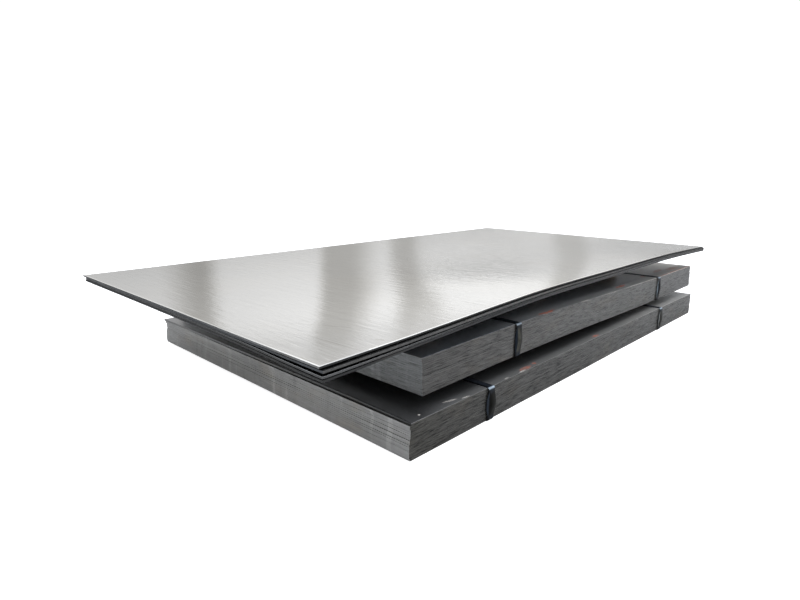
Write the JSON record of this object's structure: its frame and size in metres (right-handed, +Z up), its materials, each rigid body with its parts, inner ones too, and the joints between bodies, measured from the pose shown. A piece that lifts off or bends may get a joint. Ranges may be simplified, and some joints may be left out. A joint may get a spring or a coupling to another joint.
{
  "type": "steel plate stack",
  "caption": "Stack of mill-finish hot-rolled steel plate: strapped bundles laid one on the other, with longer loose plates fanned on top.",
  "frame": {"origin": "on the floor, under the centre of the whole stack's bounding box", "axes": "+X along the plates' long edges towards the end that the picture shows receding to the right, +Y across the plates away from the long face that the picture shows, +Z up"},
  "size_m": [3.0694, 1.5928, 0.3863],
  "materials": {
    "mill_steel": "glossy oiled mill finish with rolling streaks",
    "edge_steel": "sheared plate edge, grey, fine lines",
    "strap_steel": "blued steel strapping, satin to gloss",
    "batten_timber": "rough sawn softwood, weathered"
  },
  "bodies": {
    "root": {"loose_plate_1": "mill_steel", "loose_plate_2": "mill_steel", "loose_plate_3": "mill_steel", "loose_plate_4": "mill_steel", "upper_bundle_plate_01": "edge_steel", "upper_bundle_plate_02": "edge_steel", "upper_bundle_plate_03": "edge_steel", "upper_bundle_plate_04": "edge_steel", "upper_bundle_plate_05": "edge_steel", "upper_bundle_plate_06": "edge_steel", "upper_bundle_plate_07": "edge_steel", "upper_bundle_plate_08": "edge_steel", "upper_bundle_plate_09": "edge_steel", "upper_bundle_plate_10": "edge_steel", "upper_bundle_plate_11": "edge_steel", "upper_bundle_plate_12": "edge_steel", "upper_bundle_plate_13": "edge_steel", "upper_bundle_plate_14": "edge_steel", "upper_bundle_plate_15": "edge_steel", "upper_bundle_plate_16": "edge_steel", "upper_bundle_plate_17": "edge_steel", "upper_bundle_plate_18": "edge_steel", "upper_bundle_plate_19": "mill_steel", "lower_bundle_plate_01": "edge_steel", "lower_bundle_plate_02": "edge_steel", "lower_bundle_plate_03": "edge_steel", "lower_bundle_plate_04": "edge_steel", "lower_bundle_plate_05": "edge_steel", "lower_bundle_plate_06": "edge_steel", "lower_bundle_plate_07": "edge_steel", "lower_bundle_plate_08": "edge_steel", "lower_bundle_plate_09": "edge_steel", "lower_bundle_plate_10": "edge_steel", "lower_bundle_plate_11": "edge_steel", "lower_bundle_plate_12": "edge_steel", "lower_bundle_plate_13": "edge_steel", "lower_bundle_plate_14": "edge_steel", "lower_bundle_plate_15": "edge_steel", "lower_bundle_plate_16": "edge_steel", "lower_bundle_plate_17": "edge_steel", "lower_bundle_plate_18": "mill_steel", "lower_strap_near": "strap_steel", "lower_strap_far": "strap_steel", "upper_strap_near": "strap_steel", "upper_strap_far": "strap_steel", "lower_seal_near": "strap_steel", "lower_seal_far": "strap_steel", "upper_seal_near": "strap_steel", "upper_seal_far": "strap_steel", "lower_batten_1": "batten_timber", "lower_batten_2": "batten_timber", "lower_batten_3": "batten_timber", "upper_batten_1": "batten_timber", "upper_batten_2": "batten_timber", "upper_batten_3": "batten_timber"}
  },
  "joints": []
}
